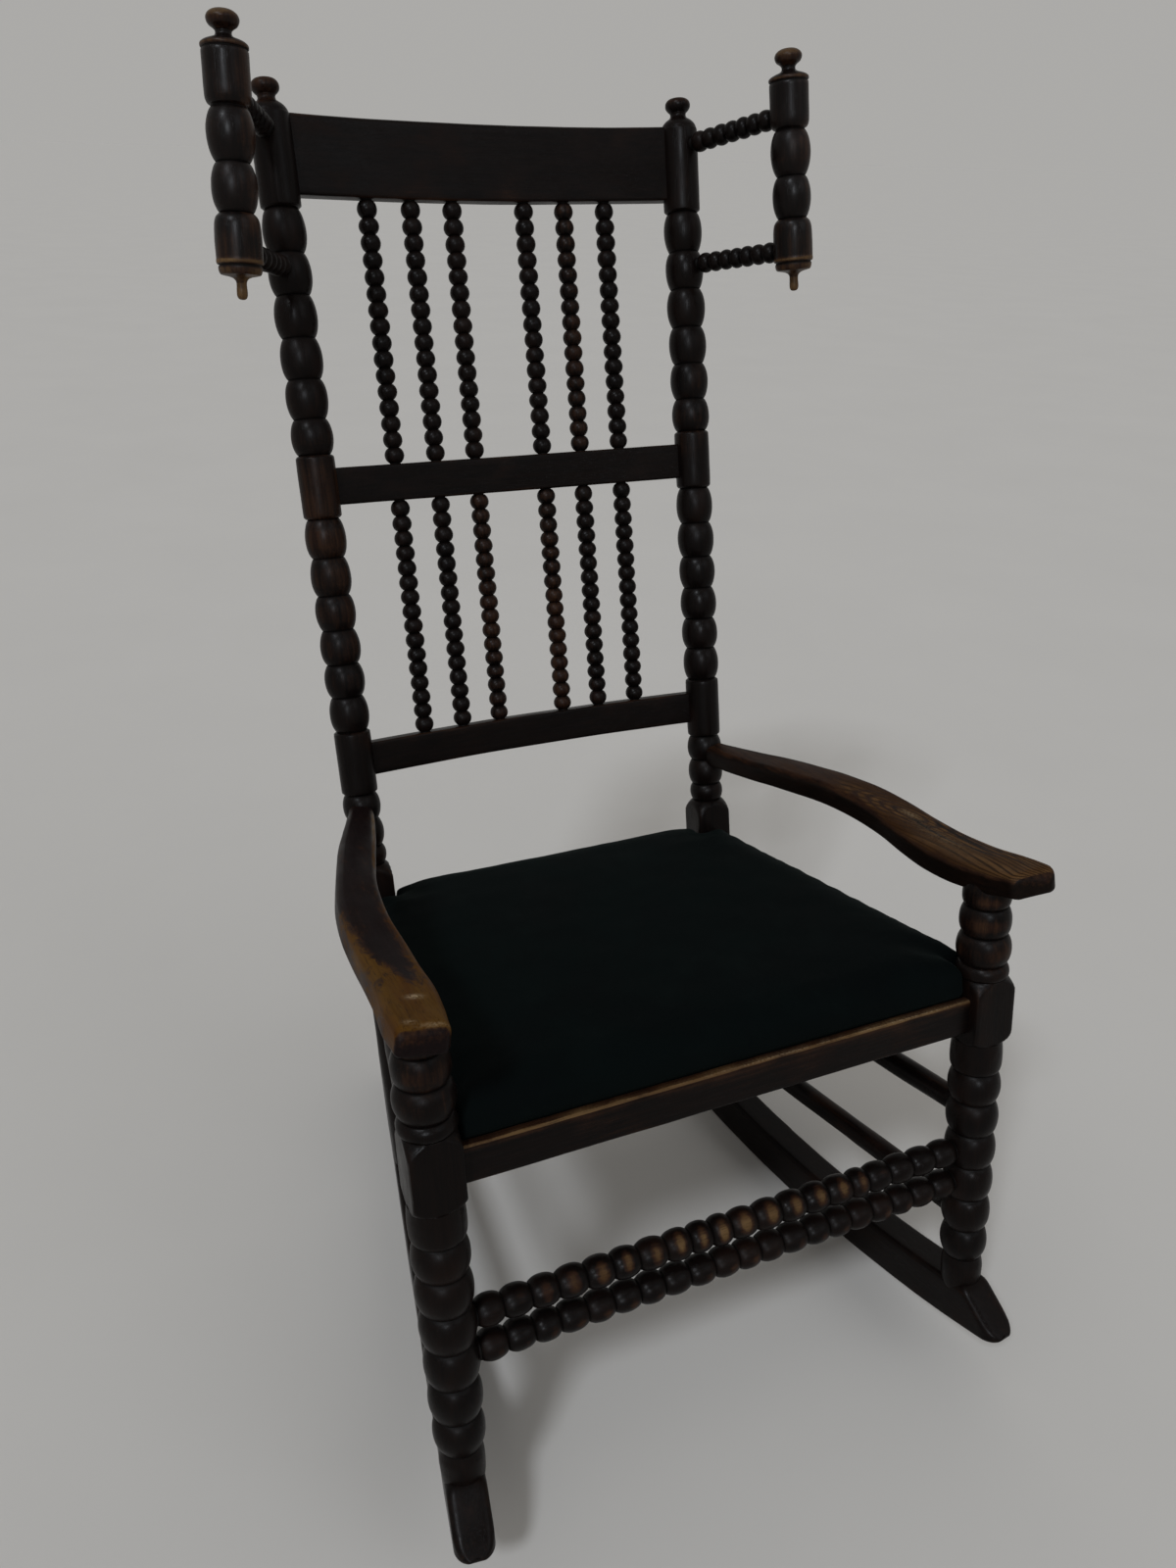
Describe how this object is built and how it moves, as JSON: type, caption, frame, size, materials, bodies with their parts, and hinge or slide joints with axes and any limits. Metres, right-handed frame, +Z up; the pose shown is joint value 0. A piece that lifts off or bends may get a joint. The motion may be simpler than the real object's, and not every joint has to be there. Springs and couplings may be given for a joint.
{
  "type": "rocking chair",
  "caption": "Tall bobbin-turned rocking chair with head wings, open scrolling arms, ring-turned legs and spindles, and a drop-in green velvet seat.",
  "frame": {"origin": "floor level under the middle of the chair's bounding box, the chair standing at rest on its rockers", "axes": "+Z up; the chair faces -Y, so a sitter looks towards -Y; +X is the sitter's left and the side on the right when the chair is seen from the front"},
  "size_m": [0.5792, 0.7522, 1.158],
  "materials": {
    "dark_stained_oak": "near-black brown stain under worn semi-gloss varnish",
    "worn_oak": "same stain worn through to tan oak where hands rest",
    "pale_frame_wood": "raw sawn hardwood",
    "jute_webbing": "coarse woven",
    "seat_wadding": "matt fibrous",
    "green_velvet": "short-pile velvet"
  },
  "bodies": {
    "chair_frame": {"rocker_left": "dark_stained_oak", "rocker_right": "dark_stained_oak", "front_leg_left": "dark_stained_oak", "front_leg_right": "dark_stained_oak", "back_post_left": "dark_stained_oak", "back_post_right": "dark_stained_oak", "crest_rail": "dark_stained_oak", "middle_slat": "dark_stained_oak", "lower_slat": "dark_stained_oak", "upper_spindle_1": "dark_stained_oak", "upper_spindle_2": "dark_stained_oak", "upper_spindle_3": "dark_stained_oak", "upper_spindle_4": "dark_stained_oak", "upper_spindle_5": "dark_stained_oak", "upper_spindle_6": "dark_stained_oak", "lower_spindle_1": "dark_stained_oak", "lower_spindle_2": "dark_stained_oak", "lower_spindle_3": "dark_stained_oak", "lower_spindle_4": "dark_stained_oak", "lower_spindle_5": "dark_stained_oak", "lower_spindle_6": "dark_stained_oak", "wing_post_left": "dark_stained_oak", "wing_post_right": "dark_stained_oak", "wing_spindle_upper_left": "dark_stained_oak", "wing_spindle_lower_left": "dark_stained_oak", "wing_spindle_upper_right": "dark_stained_oak", "wing_spindle_lower_right": "dark_stained_oak", "arm_left": "worn_oak", "arm_right": "worn_oak", "front_seat_rail": "dark_stained_oak", "rear_seat_rail": "dark_stained_oak", "side_seat_rail_left": "dark_stained_oak", "side_seat_rail_right": "dark_stained_oak", "front_stretcher_upper": "dark_stained_oak", "front_stretcher_lower": "dark_stained_oak", "side_stretcher_upper_left": "dark_stained_oak", "side_stretcher_lower_left": "dark_stained_oak", "side_stretcher_upper_right": "dark_stained_oak", "side_stretcher_lower_right": "dark_stained_oak", "rear_stretcher": "dark_stained_oak"},
    "drop_in_seat": {"pad_frame_front": "pale_frame_wood", "pad_frame_rear": "pale_frame_wood", "pad_frame_left": "pale_frame_wood", "pad_frame_right": "pale_frame_wood", "seat_webbing": "jute_webbing", "seat_padding": "seat_wadding", "velvet_cover": "green_velvet"}
  },
  "joints": [
    {"name": "seat_lift", "type": "slide", "parent": "chair_frame", "child": "drop_in_seat", "axis": [0, 0.1616, 0.9869], "range_m": [0, 0.06]}
  ]
}
